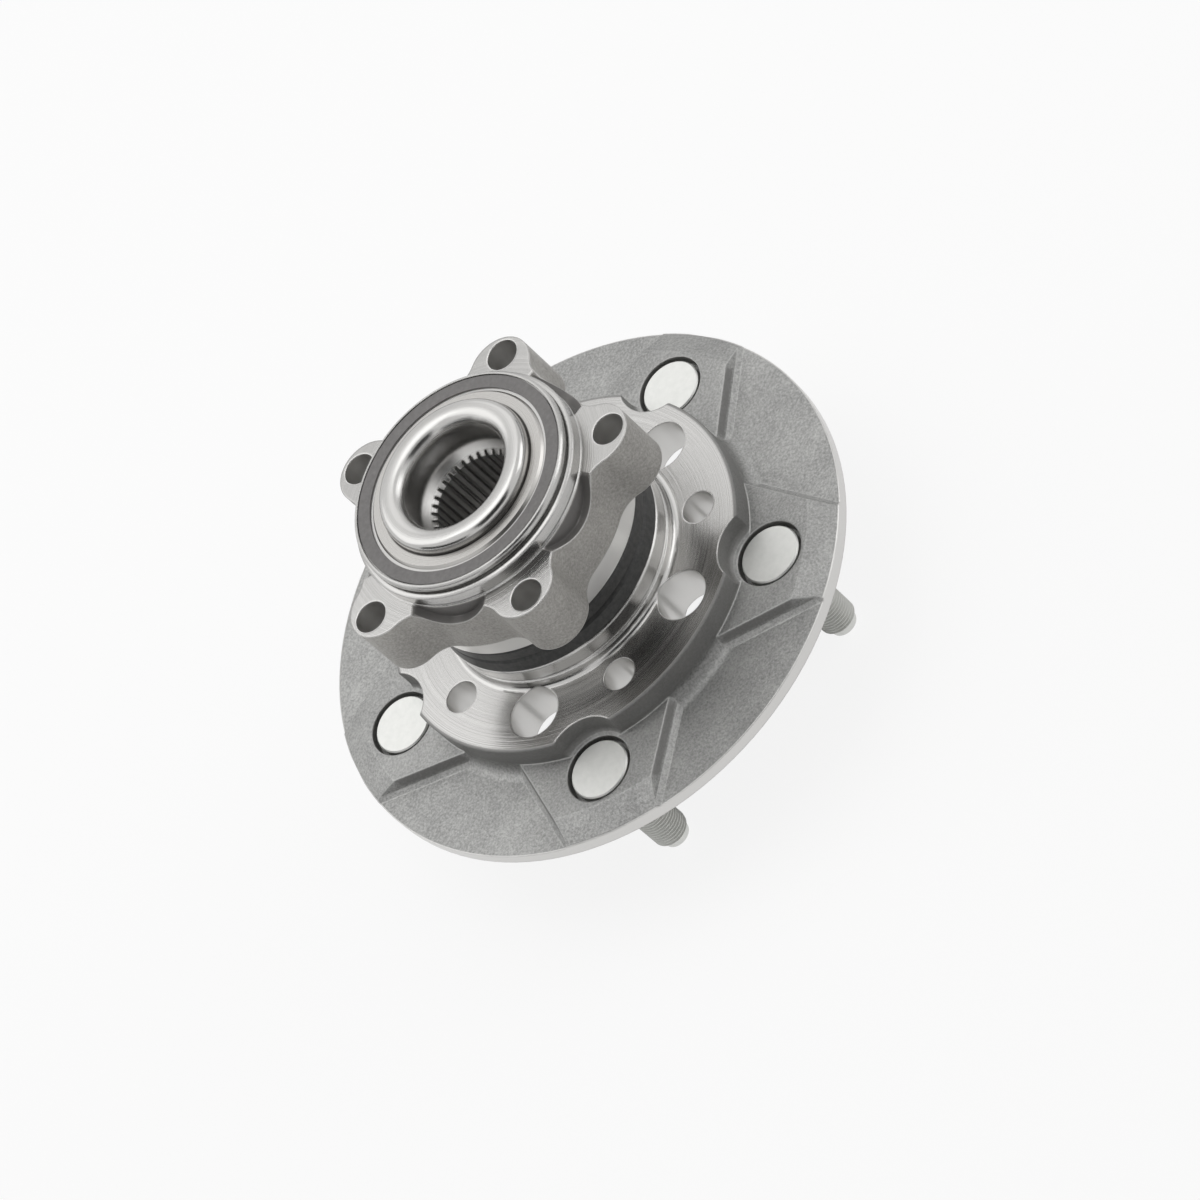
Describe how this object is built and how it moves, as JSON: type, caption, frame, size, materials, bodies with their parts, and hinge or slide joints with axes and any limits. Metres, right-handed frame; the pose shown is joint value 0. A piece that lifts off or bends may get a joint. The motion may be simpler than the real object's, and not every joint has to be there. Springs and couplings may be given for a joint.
{
  "type": "wheel hub bearing",
  "caption": "Driven-wheel hub unit: a flanged, splined hub with wheel studs turns on tapered rollers in an eared outer ring that bolts to the knuckle.",
  "frame": {"origin": "on the turning axis, in the plane of the face that the wheel bolts to", "axes": "+Z along the turning axis towards the knuckle and the vehicle's middle; +X through the first wheel stud; the studs point along -Z"},
  "size_m": [0.208, 0.208, 0.133],
  "materials": {
    "forged_hub": "forged, with turned faces",
    "forged_ring": "forged, with turned faces",
    "ground_steel": "ground",
    "stud_steel": "zinc plated",
    "seal_sheet": "pressed sheet",
    "encoder_rubber": "matte",
    "seal_rubber": "matte",
    "cage_plastic": "moulded"
  },
  "bodies": {
    "outer_ring_unit": {"outer_ring": "forged_ring", "seal_case_inboard": "seal_sheet", "seal_case_outboard": "seal_sheet", "seal_lip_inboard": "seal_rubber", "seal_lip_outboard": "seal_rubber", "excluder_boot": "seal_rubber"},
    "hub_unit": {"hub_spindle": "forged_hub", "inner_ring_inboard": "ground_steel", "inner_ring_outboard": "ground_steel", "slinger_inboard": "seal_sheet", "slinger_outboard": "seal_sheet", "encoder_ring": "encoder_rubber", "wheel_stud_1": "stud_steel", "wheel_stud_2": "stud_steel", "wheel_stud_3": "stud_steel", "wheel_stud_4": "stud_steel", "wheel_stud_5": "stud_steel"},
    "inboard_row": {"inboard_cage": "cage_plastic", "inboard_roller_01": "ground_steel", "inboard_roller_02": "ground_steel", "inboard_roller_03": "ground_steel", "inboard_roller_04": "ground_steel", "inboard_roller_05": "ground_steel", "inboard_roller_06": "ground_steel", "inboard_roller_07": "ground_steel", "inboard_roller_08": "ground_steel", "inboard_roller_09": "ground_steel", "inboard_roller_10": "ground_steel", "inboard_roller_11": "ground_steel", "inboard_roller_12": "ground_steel", "inboard_roller_13": "ground_steel", "inboard_roller_14": "ground_steel", "inboard_roller_15": "ground_steel", "inboard_roller_16": "ground_steel"},
    "outboard_row": {"outboard_cage": "cage_plastic", "outboard_roller_01": "ground_steel", "outboard_roller_02": "ground_steel", "outboard_roller_03": "ground_steel", "outboard_roller_04": "ground_steel", "outboard_roller_05": "ground_steel", "outboard_roller_06": "ground_steel", "outboard_roller_07": "ground_steel", "outboard_roller_08": "ground_steel", "outboard_roller_09": "ground_steel", "outboard_roller_10": "ground_steel", "outboard_roller_11": "ground_steel", "outboard_roller_12": "ground_steel", "outboard_roller_13": "ground_steel", "outboard_roller_14": "ground_steel", "outboard_roller_15": "ground_steel", "outboard_roller_16": "ground_steel"}
  },
  "joints": [
    {"name": "hub_spin", "type": "hinge", "parent": "outer_ring_unit", "child": "hub_unit", "pos_m": [0, 0, 0], "axis": [0, 0, 1], "continuous": true},
    {"name": "inboard_row_spin", "type": "hinge", "parent": "outer_ring_unit", "child": "inboard_row", "pos_m": [0, 0, 0.066], "axis": [0, 0, 1], "continuous": true},
    {"name": "outboard_row_spin", "type": "hinge", "parent": "outer_ring_unit", "child": "outboard_row", "pos_m": [0, 0, 0.066], "axis": [0, 0, 1], "continuous": true}
  ],
  "couplings": [
    {"joint": "inboard_row_spin", "follows": "hub_spin", "ratio": 0.436},
    {"joint": "outboard_row_spin", "follows": "hub_spin", "ratio": 0.436}
  ]
}
